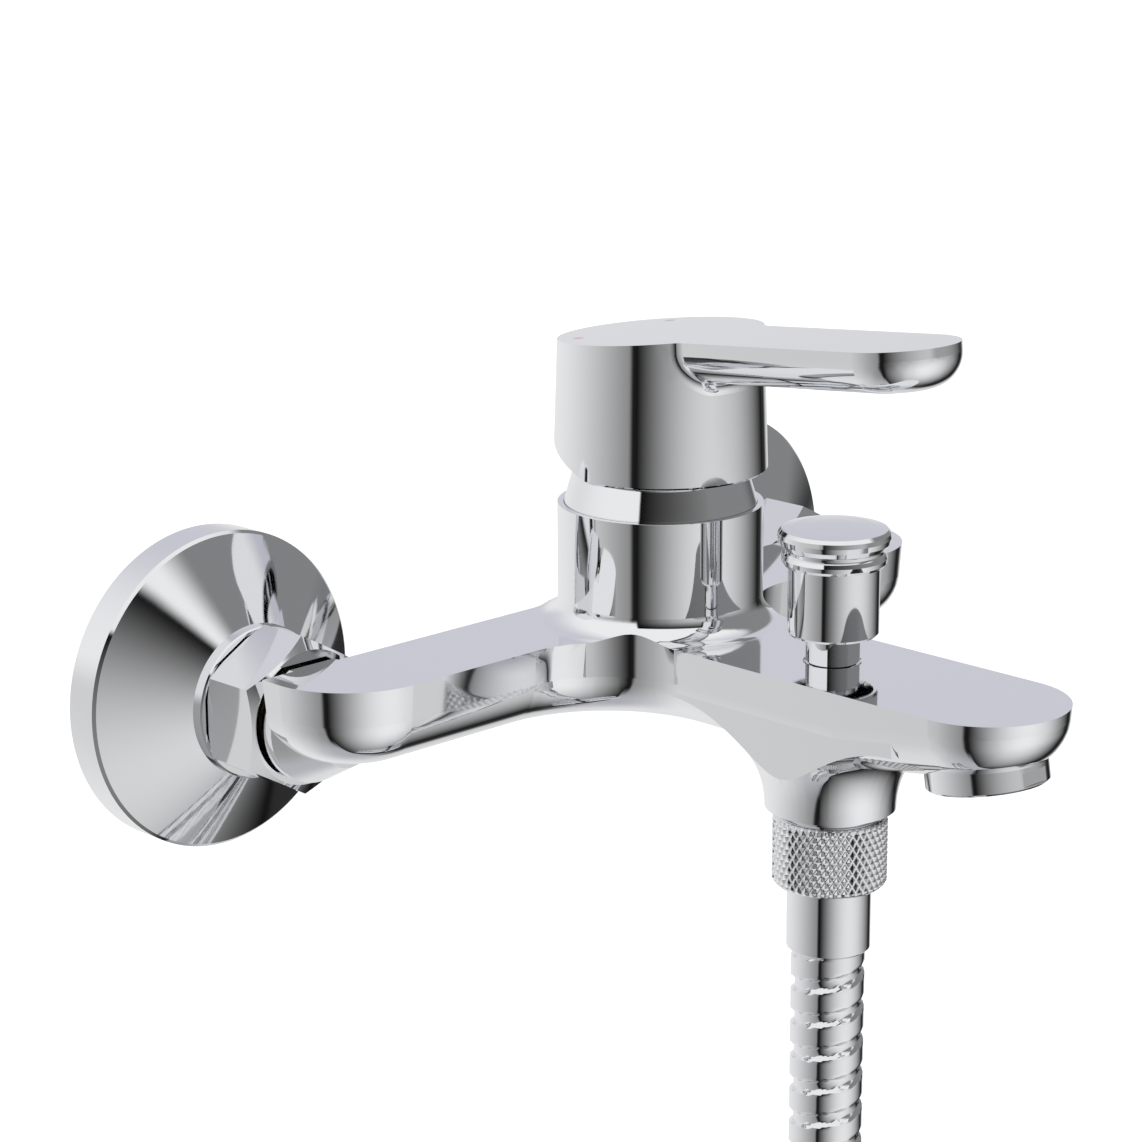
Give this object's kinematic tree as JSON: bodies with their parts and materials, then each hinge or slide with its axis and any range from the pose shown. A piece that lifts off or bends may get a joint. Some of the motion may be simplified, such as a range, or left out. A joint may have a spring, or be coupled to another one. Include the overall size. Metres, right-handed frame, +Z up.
{
  "type": "wall mounted bath faucet",
  "caption": "Wall mounted single lever bath and shower mixer with pull up diverter, tilted aerator, cone wall flanges and a coiled shower hose.",
  "frame": {"origin": "on the finished wall, midway between the two inlets at their height", "axes": "+X from the hot (left) to the cold (right) inlet seen from the front, -Y out of the wall, +Z up"},
  "size_m": [0.2212, 0.1793, 0.4689],
  "materials": {
    "chrome_casting": "polished",
    "chrome_handle": "polished",
    "chrome_trim": "polished",
    "brass": "satin",
    "rubber_black": "matte",
    "ceramic": "gloss",
    "nylon_white": "matte",
    "nylon_grey": "matte",
    "steel": "satin",
    "hot_red": "gloss",
    "cold_blue": "gloss",
    "hose_jacket": "polished",
    "tie_black": "matte"
  },
  "bodies": {
    "body": {"body_casting": "chrome_casting", "inlet_tail_left": "brass", "inlet_tail_right": "brass", "union_nut_left": "chrome_trim", "union_nut_right": "chrome_trim", "wall_union_left": "brass", "wall_union_right": "brass", "wall_flange_left": "chrome_trim", "wall_flange_right": "chrome_trim", "inlet_gasket_left": "rubber_black", "inlet_gasket_right": "rubber_black", "strainer_left": "steel", "strainer_right": "steel", "cartridge_gasket": "rubber_black", "cartridge_base": "nylon_white", "fixed_disc": "ceramic", "cartridge_housing": "nylon_white", "cartridge_nut": "brass", "cover_ring": "chrome_trim", "stem_bush": "brass", "stem_oring": "rubber_black", "upper_seat": "brass", "outlet_nipple": "chrome_trim", "aerator_housing": "chrome_trim", "aerator_insert": "nylon_grey", "aerator_washer": "rubber_black", "hose_nut": "chrome_trim", "hose_washer": "rubber_black", "hose_insert": "brass", "hose_ferrule": "chrome_trim", "hose_tube": "hose_jacket", "hose_coil": "hose_jacket", "hose_tail": "hose_jacket", "hose_tie": "tie_black", "end_ferrule": "chrome_trim", "end_insert": "brass", "cone_nut": "chrome_trim"},
    "turn": {"cartridge_rotor": "nylon_white", "pivot_pin": "steel"},
    "lever": {"handle_lever": "chrome_handle", "cartridge_spindle": "steel", "set_screw": "steel", "screw_plug": "nylon_grey", "index_dot_hot": "hot_red", "index_dot_cold": "cold_blue"},
    "disc": {"moving_disc": "ceramic", "disc_carrier": "nylon_white"},
    "diverter": {"diverter_knob": "chrome_trim", "diverter_stem": "chrome_trim", "diverter_seal": "rubber_black", "stem_nut": "brass"}
  },
  "joints": [
    {"name": "handle_turn", "type": "hinge", "parent": "body", "child": "turn", "pos_m": [0, -0.06, 0.034], "axis": [0, 0, 1], "range_deg": [-45, 45]},
    {"name": "handle_lift", "type": "hinge", "parent": "turn", "child": "lever", "pos_m": [0, -0.06, 0.034], "axis": [-1, 0, 0], "range_deg": [0, 18]},
    {"name": "disc_slide", "type": "slide", "parent": "turn", "child": "disc", "axis": [0, -1, 0], "range_m": [0, 0.0023]},
    {"name": "diverter_slide", "type": "slide", "parent": "body", "child": "diverter", "axis": [0, 0, 1], "range_m": [-0.0052, 0]}
  ],
  "couplings": [
    {"joint": "disc_slide", "follows": "handle_lift", "m_per_rad": 0.0072}
  ]
}
